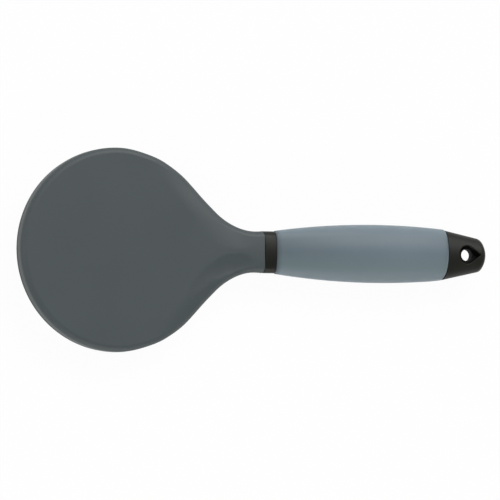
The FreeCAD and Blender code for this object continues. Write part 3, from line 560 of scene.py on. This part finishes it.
def quarter(place, inset, radius, start, end, steps):
    """Stations round a quarter of a circle about (place, inset), between two angles in degrees."""
    turn = np.radians(np.linspace(start, end, steps))
    return np.stack([place + radius * np.cos(turn), inset - radius * np.sin(turn)], axis=-1)


def neck_collar():
    """The black collar: a closed tube of ovals with a fine groove at the neck and softened edges."""
    front = COLLAR_LOW[0]
    back = COLLAR_HIGH[0]
    groove = front + COLLAR_GROOVE
    depth = COLLAR_GROOVE_DEPTH
    bevel = COLLAR_BEVEL
    soft = COLLAR_SOFT
    stations = np.concatenate([
        [[front, COLLAR_WALL], [front, depth + bevel], [front + bevel, depth], [groove, depth]],
        quarter(groove + soft, soft, soft, 180, 90, SMALL_ROUND_STEPS),
        [[(groove + back) / 2, 0.0]],
        quarter(back - soft, soft, soft, 90, 0, SMALL_ROUND_STEPS),
        [[back, COLLAR_WALL]],
    ])
    sheet = handle_sheet(stations, steady(COLLAR_HALF[0]), steady(COLLAR_HALF[1]))
    in_groove = sheet[..., 0] < groove + GROOVE_MARGIN
    # Painted shade: 1 in the groove, for a duller, deeper black there.
    shades = {"sunk": 1.0 * in_groove}
    piece = build("neck_collar_ring", [sheet], close_rows=True, shades=shades)
    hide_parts("neck_collar")
    return piece


def through_three(places, values):
    """The parabola through three values, as a function of the place along the handle."""
    terms = np.polyfit(places - places[0], values, 2)
    return lambda x: np.polyval(terms, np.minimum(x, places[2]) - places[0])


def lean_joint(sheet, flare):
    """Slides points towards the neck, and outwards by the flare, round the joint of gel and cap: most
    at the right-hand flank, with the square of the distance aside, and fading along the handle as
    half a cosine wave."""
    aside = np.clip(-sheet[..., 1] / CAP_HALF[0], 0, 1)
    away = np.clip((sheet[..., 0] - CAP_START) / JOINT_SPAN, -1, 1)
    shift = aside ** 2 * (0.5 + 0.5 * np.cos(math.pi * away))
    return sheet - shift[..., None] * np.array([JOINT_LEAN, flare, 0.0])


def gel_sleeve():
    """The gel grip: a closed tube of ovals that swells to its crown, with a small round at the collar
    and a fuller lip at the cap. Each point knows how far it lies from the crown, and along the grip."""
    front = SLEEVE_LOW[0]
    back = SLEEVE_HIGH[0]
    soft = GRIP_MOUTH_ROUND
    body = np.linspace(front + soft, back - GRIP_LIP, GEL_ROWS)[1:-1]
    inner = np.linspace(back, front, GEL_INNER_ROWS)[1:-1]
    stations = np.concatenate([
        [[front, GEL_WALL]],
        quarter(front + soft, soft, soft, 180, 90, ROUND_STEPS + 1),
        np.stack([body, 0 * body], axis=-1),
        quarter(back - GRIP_LIP, GRIP_LIP, GRIP_LIP, 90, 0, ROUND_STEPS + 3),
        [[back, GEL_WALL]],
        np.stack([inner, 0 * inner + GEL_WALL], axis=-1),
    ])
    half_width = through_three(GRIP_PLACES, GRIP_HALF_WIDTHS)
    half_thickness = through_three(GRIP_PLACES, GRIP_HALF_THICKNESSES)
    sheet = handle_sheet(stations, half_width, half_thickness)
    aside = sheet[..., 1] / half_width(sheet[..., 0])
    along = (sheet[..., 0] - front) / (back - front)
    # These numbers carry the painted reflection at the flanks, the painted light on the right-hand side
    # and the painted shade at both ends.
    shades = {"across": np.abs(aside), "right": np.maximum(-aside, 0), "along": along}
    piece = build("gel_grip_sleeve", [lean_joint(sheet, 0.0)], close_rows=True, shades=shades)
    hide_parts("gel_sleeve")
    return piece


def cap_sizes(x):
    """Half width and half thickness of the cap's straight taper."""
    share = np.clip((x - CAP_START) / (CAP_END - CAP_START), 0, 1)[..., None]
    half = CAP_HALF + (BUTT_HALF - CAP_HALF) * share
    return half[..., 0], half[..., 1]


def cap_height(plan):
    """Half height of the cap over a point in plan: the oval section there, less a quarter round that
    sets in near the bowed butt."""
    half_width, half_thickness = cap_sizes(plan[..., 0])
    side, crown, joint = oval_terms(half_width, half_thickness)
    y = np.abs(plan[..., 1])
    over_crown = half_thickness - crown + np.sqrt(np.maximum(crown ** 2 - y ** 2, 0))
    over_side = np.sqrt(np.maximum(side ** 2 - np.maximum(y - half_width + side, 0) ** 2, 0))
    height = np.where(y < crown * np.cos(joint), over_crown, over_side)
    short = BUTT_BOW - np.hypot(plan[..., 0] - CAP_END + BUTT_BOW, y)
    beyond = np.clip(1 - short / BUTT_ROUND, 0, 1)
    return height - BUTT_ROUND * (1 - np.sqrt(1 - beyond ** 2))


def cap_side(x):
    """Half width of the cap in plan: the taper's side, a round corner and the bowed butt. The
    corner's circle touches the taper's side and, from within, the bow."""
    slope = (CAP_HALF[0] - BUTT_HALF[0]) / (CAP_END - CAP_START)
    length = math.hypot(1, slope)
    inner = BUTT_BOW - BUTT_CORNER
    lift = BUTT_HALF[0] - BUTT_CORNER * length
    terms = [1 + slope ** 2, 2 * BUTT_BOW - 2 * slope * lift, BUTT_BOW ** 2 + lift ** 2 - inner ** 2]
    back = max(np.roots(terms).real)
    rise = lift - slope * back
    from_butt = x - CAP_END
    side = BUTT_HALF[0] - slope * from_butt
    corner = rise + np.sqrt(np.maximum(BUTT_CORNER ** 2 - (from_butt - back) ** 2, 0))
    bow = np.sqrt(np.maximum(BUTT_BOW ** 2 - (from_butt + BUTT_BOW) ** 2, 0))
    side_touch = back + BUTT_CORNER * slope / length
    bow_touch = (back + BUTT_BOW) * BUTT_BOW / inner - BUTT_BOW
    return np.where(from_butt < side_touch, side, np.where(from_butt < bow_touch, corner, bow))


def cap_outline(turn):
    """Distance from the hole's axis to the cap's outline in plan, for bearings from 0 to pi."""
    end_x = CAP_END - BUTT_SPAN * np.linspace(0, 1, BUTT_STEPS) ** 2
    side_x = np.concatenate([end_x, np.linspace(end_x[-1], CAP_START, TAPER_STEPS)[1:]])
    side = np.stack([side_x, cap_side(side_x)], axis=-1)
    face_y = np.linspace(side[-1, 1], 0, FACE_STEPS)[1:]
    face = np.stack([np.full_like(face_y, CAP_START), face_y], axis=-1)
    offset = np.concatenate([side, face]) - np.array([HOLE_PLACE, 0.0])
    bearing = np.arctan2(offset[:, 1], offset[:, 0])
    return np.interp(turn, bearing, np.hypot(offset[:, 0], offset[:, 1]))


def recess_reach(turn):
    """Distance from the hole's axis to the drop-shaped recess, for bearings from 0 to pi: a circle
    whose middle lies a little towards the sleeve, and its tangent to the tip near the butt."""
    lean = math.asin(RECESS_RADIUS / (RECESS_TIP + RECESS_SHIFT))
    circle = (-RECESS_SHIFT * np.cos(turn)
              + np.sqrt(RECESS_RADIUS ** 2 - (RECESS_SHIFT * np.sin(turn)) ** 2))
    touch_x = RECESS_RADIUS * math.sin(lean) - RECESS_SHIFT
    touch_y = RECESS_RADIUS * math.cos(lean)
    tangent = RECESS_TIP * math.sin(lean) / np.sin(np.minimum(turn + lean, TANGENT_LIMIT))
    return np.where(turn < math.atan2(touch_y, touch_x), tangent, circle)


def cap_half_sheet():
    """One half of the cap round its hole: rows run from the middle of the hole's wall over its
    softened rim, across the recess, up its wall and out over the crown to the outline. Gives the
    rows and which of them lie in the recess, where shade is painted."""
    corner = math.atan2(CAP_HALF[0], CAP_START - HOLE_PLACE)
    turn = np.unique(np.append(np.linspace(0, math.pi, CAP_COLUMNS), corner))
    turn = np.concatenate([turn, 2 * math.pi - turn[-2:0:-1]])
    fold = np.where(turn > math.pi, 2 * math.pi - turn, turn)
    spoke = np.stack([np.cos(turn), np.sin(turn)], axis=-1)
    middle = np.array([HOLE_PLACE, 0.0])

    def rows_at(reach, height):
        """Rows of points at their distances from the hole's axis and their heights."""
        reach = np.broadcast_to(reach, (len(reach), len(turn)))
        return with_height(middle + spoke * reach[..., None], height)

    bend = np.linspace(0, math.pi / 2, ROUND_STEPS)[:, None]
    near = 1 - np.cos(bend)
    far = 1 - np.sin(bend)
    half_way = np.array([[0.5], [1.0]])
    web = HOLE_WEB_HALF
    hole = rows_at(np.full((2, 1), HOLE_RADIUS), np.array([[0.0], [web - HOLE_WALL_DROP]]))
    hole_rim = rows_at(HOLE_RADIUS + HOLE_SOFT * near, web - HOLE_SOFT * far)

    recess = recess_reach(fold)
    foot = recess - RECESS_DRAFT
    start = HOLE_RADIUS + HOLE_SOFT
    floor_rows = rows_at(start + (foot - RECESS_COVE - start) * half_way, web)
    cove = rows_at((foot - RECESS_COVE * far)[1:], (web + RECESS_COVE * near)[1:])
    crest = recess + RECESS_RIM
    lip = cap_height(middle + spoke * crest[:, None])
    top = web + RECESS_COVE
    wall = rows_at(foot + (recess - foot) * half_way, top + (lip - RECESS_RIM - top) * half_way)
    rim = rows_at((recess + RECESS_RIM * near)[1:], (lip - RECESS_RIM * far)[1:])

    outline = cap_outline(fold)
    out = np.sin(np.linspace(0, math.pi / 2, CAP_ROWS))[1:, None]
    reach = crest + (outline - crest) * out
    over = rows_at(reach, cap_height(middle + spoke * reach[..., None]))
    side = rows_at(outline + 0 * SIDE_SHARES, over[-1][:, 2] * SIDE_SHARES)
    inside = np.concatenate([hole, hole_rim, floor_rows, cove, wall])
    outside = np.concatenate([rim, over, side])
    # Painted shade: 1 for the rows inside the recess.
    sunk = np.repeat([1.0, 0.0], [len(inside), len(outside)])
    return np.concatenate([inside, outside]), sunk


def end_cap():
    """The black cap: its upper half sheet, followed by the lower one in mirror image, made a little
    fuller and leant at its joint with the gel."""
    upper, sunk = cap_half_sheet()
    lower = upper[-2:0:-1] * np.array([1, 1, -1])
    sheet = np.concatenate([upper, lower]) * np.array([1, CAP_FULLER, 1])
    sheet = lean_joint(sheet + np.array([0, 0, AXIS_HEIGHT]), CAP_FLARE)
    # Painted shade in the recess, for both halves.
    shade = np.concatenate([sunk, sunk[-2:0:-1]])[:, None] * np.ones(sheet.shape[:2])
    piece = build("end_cap_moulding", [sheet], close_rows=True, shades={"sunk": shade})
    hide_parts("end_cap")
    return piece


def cap_plug():
    """The plug of the cap inside the grip core: a closed oval bar."""
    front = CAP_LOW[0]
    back = CAP_START + PLUG_BITE
    stations = [
        [front, PLUG_CORE],
        [front, PLUG_BEVEL],
        [front + PLUG_BEVEL, 0.0],
        [back, 0.0],
        [back, PLUG_CORE],
    ]
    sheet = handle_sheet(stations, steady(PLUG_HALF[0]), steady(PLUG_HALF[1]))
    piece = build("end_cap_plug", [sheet], close_rows=True)
    return piece


# ---------------------------------------------------------------- materials


# Colours in linear light. Where there are two, clouding or flow marks blend between them.
SLATE = (0.0445, 0.0590, 0.0615, 1)
SLATE_CLOUD = (0.0540, 0.0705, 0.0740, 1)
SLATE_SPECK = (0.085, 0.098, 0.102, 1)
RUBBER = (0.045, 0.052, 0.055, 1)
RUBBER_BLOOM = (0.070, 0.080, 0.084, 1)
BLACK = (0.008, 0.008, 0.006, 1)
BLACK_DRIFT = (0.013, 0.013, 0.010, 1)
# Painted shade in the cap's recess and the collar's groove.
BLACK_PAINTED_SHADE = (0.003, 0.003, 0.003, 1)
GEL_BY_COLLAR = (0.112, 0.150, 0.172, 1)
GEL_BY_CAP = (0.160, 0.206, 0.240, 1)
# Painted light: the greener tint of the right-hand side.
GEL_RIGHT_PAINTED_LIGHT = (0.180, 0.250, 0.240, 1)
# Painted reflection, partly the thicker gel: the pale flanks.
GEL_THICK_FLANK_AND_SHEEN = (0.215, 0.265, 0.298, 1)
GEL_CLOUD = (0.200, 0.250, 0.280, 1)
# Painted shade at the mouth beside the collar.
GEL_MOUTH_SHADE = (0.040, 0.052, 0.060, 1)
CORE_GREY = (0.10, 0.11, 0.12, 1)
FRAME_BLACK = (0.03, 0.03, 0.03, 1)
STEEL = (0.42, 0.42, 0.41, 1)
FLOOR_MATT = (0.85, 0.85, 0.85, 1)
WHITE = (1, 1, 1, 1)

# The gel's ramps, each stop a place and a share: the pale flanks, partly thicker gel and partly
# painted reflection; the right-hand side, tinted greener as painted light; the paling towards the
# cap, whose last stops paint shade on the lip by the cap; and the painted shade at the mouth.
GEL_THICK_FLANK_AND_SHEEN_STOPS = [(0.0, 0.0), (0.55, 0.10), (0.85, 0.7), (1.0, 1.0)]
GEL_RIGHT_PAINTED_LIGHT_STOPS = [(0.0, 0.0), (0.5, 0.8), (1.0, 1.0)]
# Paler towards the cap; the last two stops paint shade on the lip by the cap.
GEL_ALONG_AND_LIP_SHADE_STOPS = [(0.0, 0.0), (0.03, 0.15), (0.3, 0.45), (0.75, 1.0), (0.96, 0.8), (1.0, 0.1)]
# Painted shade: the first few millimetres beside the collar.
GEL_MOUTH_SHADE_STOPS = [(0.0, 1.0), (0.012, 0.5), (0.03, 0.0)]
# Painted shade: how far the recess and groove rows take the shaded black.
PAINTED_SHADE_STOPS = [(0.0, 0.0), (1.0, 0.85)]


class Wire:
    """A shader socket that can be added, subtracted and multiplied like a number."""

    def __init__(self, paint, socket):
        self.paint = paint
        self.socket = socket

    def maths(self, operation, *values):
        """A Math node of this operation on these values."""
        sockets = dict(enumerate(values))
        return self.paint.node("ShaderNodeMath", {"operation": operation}, sockets)

    def __add__(self, other):
        return self.maths("ADD", self, other)

    def __sub__(self, other):
        return self.maths("SUBTRACT", self, other)

    def __rsub__(self, other):
        return self.maths("SUBTRACT", other, self)

    def __mul__(self, other):
        return self.maths("MULTIPLY", self, other)

    __radd__ = __add__
    __rmul__ = __mul__


class Paint:
    """A material or world under construction. Every node in it comes from its node method."""

    def __init__(self, owner):
        self.owner = owner
        owner.use_nodes = True
        self.tree = owner.node_tree
        self.tree.nodes.clear()

    def node(self, kind, settings=None, sockets=None, output=0):
        """A new node: its settings, then the values or wires of its sockets; gives one output."""
        made = self.tree.nodes.new(kind)
        for name, value in (settings or {}).items():
            if name == "stops":
                set_stops(made.color_ramp, value)
            else:
                setattr(made, name, value)
        for name, value in (sockets or {}).items():
            if isinstance(value, Wire):
                self.tree.links.new(value.socket, made.inputs[name])
            else:
                made.inputs[name].default_value = value
        return Wire(self, made.outputs[output]) if made.outputs else None

    def number(self, label):
        """One of the piece's own numbers."""
        return self.node("ShaderNodeAttribute", {"attribute_name": label}, output="Fac")

    def noise(self, size_mm, detail=2.0, roughness=0.5):
        """Noise from 0 to 1, on Object coordinates, whose lumps are about that wide."""
        return self.node("ShaderNodeTexNoise", None, {
            "Vector": self.node("ShaderNodeTexCoord", output="Object"),
            "Scale": 1 / (size_mm * MM),
            "Detail": detail,
            "Roughness": roughness,
        })

    def blend(self, share, a, b):
        """A colour between a and b."""
        return self.node("ShaderNodeMix", {"data_type": "RGBA"}, {0: share, 6: a, 7: b}, output=2)

    def ramp(self, label, stops):
        """One of the piece's own numbers, carried through a ramp of grey levels."""
        return self.node("ShaderNodeValToRGB", {"stops": stops}, {"Fac": self.number(label)})

    def bump(self, height, strength, depth_mm):
        """Normals tilted by a height pattern of that depth."""
        return self.node("ShaderNodeBump", None, {
            "Height": height, "Strength": strength, "Distance": depth_mm * MM})

    def principled(self, sockets):
        """A principled shader."""
        return self.node("ShaderNodeBsdfPrincipled", None, sockets)

    def mix_shader(self, share, first, second):
        """A surface between two shaders."""
        return self.node("ShaderNodeMixShader", None, {0: share, 1: first, 2: second})

    def finished(self, surface):
        """The material, with this shader on its surface."""
        self.node("ShaderNodeOutputMaterial", None, {"Surface": surface})
        return self.owner


def material(name):
    """An empty new material to paint."""
    return Paint(bpy.data.materials.new(name))


def set_stops(ramp, stops):
    """A colour ramp's stops, each a place and a grey level."""
    while len(ramp.elements) > 1:
        ramp.elements.remove(ramp.elements[-1])
    ramp.elements[0].position, grey = stops[0]
    ramp.elements[0].color = (grey, grey, grey, 1)
    for place, grey in stops[1:]:
        ramp.elements.new(place).color = (grey, grey, grey, 1)


def soft_touch():
    """Slate rubberised paint: an even matt skin with faint clouding and a very fine grain, a little
    duller round the edge."""
    paint = material("soft_touch_slate")
    cloud = paint.noise(28, 3.0)
    speck = paint.noise(0.5, 2.0)
    edge = paint.number("edge")
    colour = paint.blend(cloud, SLATE, SLATE_CLOUD)
    colour = paint.blend(speck * 0.25, colour, SLATE_SPECK)
    grain = paint.noise(0.35, 3.0, 0.6)
    return paint.finished(paint.principled({
        "Base Color": colour,
        "Roughness": 0.52 + cloud * 0.06 + edge * 0.06,
        "Specular IOR Level": 0.6,
        "Normal": paint.bump(grain, 0.25, 0.05),
    }))


def rubber():
    """Dark moulded rubber with a dusty bloom."""
    paint = material("pad_rubber_grey")
    bloom = paint.noise(6, 4.0, 0.6)
    grain = paint.noise(0.6, 3.0)
    return paint.finished(paint.principled({
        "Base Color": paint.blend(bloom, RUBBER, RUBBER_BLOOM),
        "Roughness": 0.62 + bloom * 0.15,
        "Specular IOR Level": 0.4,
        "Normal": paint.bump(grain, 0.3, 0.06),
    }))


def black_plastic():
    """Satin black moulding with a spark-eroded grain. Painted shade makes the cap's recess and the
    collar's groove a duller, deeper black.
    """
    paint = material("black_satin_plastic")
    drift = paint.noise(9, 3.0)
    grain = paint.noise(0.4, 3.0, 0.65)
    bump = paint.bump(grain, 0.22, 0.04)
    satin = paint.principled({
        "Base Color": paint.blend(drift, BLACK, BLACK_DRIFT),
        "Roughness": 0.39 + drift * 0.10 + grain * 0.06,
        "Specular IOR Level": 0.28,
        "Normal": bump,
    })
    # Painted shade: a duller, deeper black for the recess and the groove.
    painted_shade_bsdf = paint.principled({
        "Base Color": BLACK_PAINTED_SHADE,
        "Roughness": 0.8,
        "Specular IOR Level": 0.12,
        "Normal": bump,
    })
    # Painted shade: the recess and groove rows blend to the shaded black.
    sunk = paint.ramp("sunk", PAINTED_SHADE_STOPS)
    return paint.finished(paint.mix_shader(sunk, satin, painted_shade_bsdf))


def gel():
    """Milky grey-blue gel, darker beside the collar and paler towards the cap. Its flanks are paler
    and its middle deeper, partly from the thicker gel over the core and partly as a painted
    reflection. A greener tint of painted light lies on its right-hand side, and painted shade
    darkens the mouth at the collar and the lip by the cap."""
    paint = material("milky_gel")
    cloud = paint.noise(14, 3.0)
    flank = paint.ramp("across", GEL_THICK_FLANK_AND_SHEEN_STOPS)
    right = paint.ramp("right", GEL_RIGHT_PAINTED_LIGHT_STOPS)
    along = paint.ramp("along", GEL_ALONG_AND_LIP_SHADE_STOPS)
    mouth_shade = paint.ramp("along", GEL_MOUTH_SHADE_STOPS)
    # Darker beside the collar and paler towards the cap, with painted shade on the lip by the cap.
    colour = paint.blend(along, GEL_BY_COLLAR, GEL_BY_CAP)
    # Painted light: a greener tint on the right-hand side.
    colour = paint.blend(right * 0.45, colour, GEL_RIGHT_PAINTED_LIGHT)
    # Painted reflection, partly the gel's thicker path: paler flanks and a deeper middle.
    colour = paint.blend(flank, colour, GEL_THICK_FLANK_AND_SHEEN)
    colour = paint.blend(cloud * 0.1, colour, GEL_CLOUD)
    # Painted shade: the mouth beside the collar darkened.
    colour = paint.blend(mouth_shade * 0.6, colour, GEL_MOUTH_SHADE)
    grain = paint.noise(0.7, 2.0)
    return paint.finished(paint.principled({
        "Base Color": colour,
        "Roughness": 0.47 + cloud * 0.08,
        "Specular IOR Level": 0.38,
        "Subsurface Weight": 0.35,
        "Subsurface Scale": 4 * MM,
        "Subsurface Radius": (0.8, 0.9, 1.0),
        "Normal": paint.bump(grain, 0.15, 0.04),
    }))


def plain_moulding(name, colour):
    """A hidden hard moulding: an even colour with light flow marks and a fine grain."""
    paint = material(name)
    flow = paint.noise(12, 3.0)
    grain = paint.noise(0.5, 2.0)
    lighter = tuple(1.25 * level for level in colour[:3]) + (1,)
    return paint.finished(paint.principled({
        "Base Color": paint.blend(flow, colour, lighter),
        "Roughness": 0.45 + flow * 0.08,
        "Normal": paint.bump(grain, 0.2, 0.04),
    }))


def pin_steel():
    """Drawn steel: fine marks in the gloss."""
    paint = material("drawn_steel")
    streak = paint.noise(0.8, 4.0)
    return paint.finished(paint.principled({
        "Base Color": STEEL,
        "Metallic": 1.0,
        "Roughness": 0.25 + streak * 0.15,
    }))


def dress(piece, finish):
    """The piece wears only this material."""
    piece.data.materials.clear()
    piece.data.materials.append(finish)


# ---------------------------------------------------------------- stage

FLOOR_HALF = 3.0
FLOOR_GLOW = 0.965
SKY_OVERHEAD = 0.08
SKY_HORIZON = 0.65

# The lamps: name, place and size in metres, and watts. All are aimed at one point over the comb.
LAMP_TARGET = Vector((0.08, 0.0, 0.0))
LAMPS = [
    ("key", (0.75, 1.5, 1.75), (1.8, 1.2), 42),
    ("fill", (0.2, -1.3, 0.45), (1.2, 0.5), 7),
    ("front", (-1.0, 0.0, 0.85), (0.8, 1.2), 5),
]

# The camera: how far it leans from upright, the bearing it leans towards, its roll, the point it
# looks at in millimetres, and the width it takes in there.
CAMERA_TILT = math.radians(20.06)
CAMERA_BEARING = math.radians(190.15)
CAMERA_ROLL = math.radians(-0.34)
CAMERA_TARGET = Vector((81.86, 1.16, AXIS_HEIGHT)) * MM
CAMERA_FIELD = 288.8 * MM
CAMERA_LENS = 600.0
CAMERA_SENSOR = 36.0


def floor():
    """A pale floor under the teeth, nearly white to the camera and clear from below."""
    half = FLOOR_HALF
    corners = [(-half, -half, 0.0), (half, -half, 0.0), (half, half, 0.0), (-half, half, 0.0)]
    mesh = bpy.data.meshes.new("floor")
    mesh.from_pydata(corners, [], [(0, 1, 2, 3)])
    plane = bpy.data.objects.new("floor", mesh)
    bpy.context.scene.collection.objects.link(plane)
    paint = material("floor_white")
    camera_ray = paint.node("ShaderNodeLightPath", output="Is Camera Ray")
    glossy_ray = paint.node("ShaderNodeLightPath", output="Is Glossy Ray")
    through_ray = paint.node("ShaderNodeLightPath", output="Is Transmission Ray")
    rays = camera_ray + glossy_ray + through_ray
    seen = rays.maths("MINIMUM", rays, 1.0)
    matt = paint.node("ShaderNodeBsdfDiffuse", None, {"Color": FLOOR_MATT})
    glow = paint.node("ShaderNodeEmission", None, {"Color": WHITE, "Strength": 1.0})
    lit = paint.mix_shader(seen * FLOOR_GLOW, matt, glow)
    behind = paint.node("ShaderNodeNewGeometry", output="Backfacing")
    clear = paint.node("ShaderNodeBsdfTransparent")
    dress(plane, paint.finished(paint.mix_shader(behind, lit, clear)))


def world():
    """A light tent: bright near the horizon and dimmer overhead, and plain white to the camera."""
    surroundings = bpy.data.worlds.new("light_tent")
    bpy.context.scene.world = surroundings
    paint = Paint(surroundings)
    direction = paint.node("ShaderNodeTexCoord", output="Generated")
    height = paint.node("ShaderNodeSeparateXYZ", None, {0: direction}, output="Z")
    low = 1 - height.maths("ABSOLUTE", height)
    strength = SKY_OVERHEAD + low * (SKY_HORIZON - SKY_OVERHEAD)
    tent = paint.node("ShaderNodeBackground", None, {"Strength": strength})
    white = paint.node("ShaderNodeBackground", None, {"Color": WHITE, "Strength": 1.0})
    camera_ray = paint.node("ShaderNodeLightPath", output="Is Camera Ray")
    seen = paint.mix_shader(camera_ray, tent, white)
    paint.node("ShaderNodeOutputWorld", None, {"Surface": seen})


def lamp(name, place, size, watts):
    """A soft rectangular lamp."""
    data = bpy.data.lights.new(name, "AREA")
    data.shape = "RECTANGLE"
    data.size = size[0]
    data.size_y = size[1]
    data.energy = watts
    item = bpy.data.objects.new(name, data)
    item.location = place
    item.rotation_mode = "QUATERNION"
    item.rotation_quaternion = (LAMP_TARGET - Vector(place)).to_track_quat("-Z", "Y")
    item.visible_camera = False
    bpy.context.scene.collection.objects.link(item)


def camera():
    """A long lens almost straight above, leaning back over the head."""
    aside = math.sin(CAMERA_TILT)
    back = Vector((
        aside * math.cos(CAMERA_BEARING),
        aside * math.sin(CAMERA_BEARING),
        math.cos(CAMERA_TILT),
    ))
    data = bpy.data.cameras.new("camera")
    data.sensor_width = CAMERA_SENSOR
    data.lens = CAMERA_LENS
    data.clip_start = 0.01
    data.clip_end = 20.0
    item = bpy.data.objects.new("camera", data)
    side = Vector((0, 1, 0)).cross(back).normalized()
    upright = back.cross(side)
    turn = Matrix((side, upright, back)).transposed().to_quaternion()
    item.rotation_mode = "QUATERNION"
    item.rotation_quaternion = Quaternion(back, CAMERA_ROLL) @ turn
    item.location = CAMERA_TARGET + back * (CAMERA_FIELD * CAMERA_LENS / CAMERA_SENSOR)
    bpy.context.scene.collection.objects.link(item)
    bpy.context.scene.camera = item


# ---------------------------------------------------------------- the comb

dress(back_shell(), soft_touch())
dress(tooth_pad(), rubber())
black = black_plastic()
dress(neck_collar(), black)
dress(gel_sleeve(), gel())
dress(end_cap(), black)
dress(cap_plug(), black)
core = plain_moulding("core_plastic_grey", CORE_GREY)
dress(frame["nodes"]["head_frame"], plain_moulding("frame_plastic_dark", FRAME_BLACK))
dress(frame["nodes"]["grip_core_upper"], core)
dress(frame["nodes"]["grip_core_lower"], core)
dress(frame["nodes"]["tang_pin"], pin_steel())

floor()
world()
for lamp_settings in LAMPS:
    lamp(*lamp_settings)
camera()

bpy.context.scene.view_settings.view_transform = "Standard"
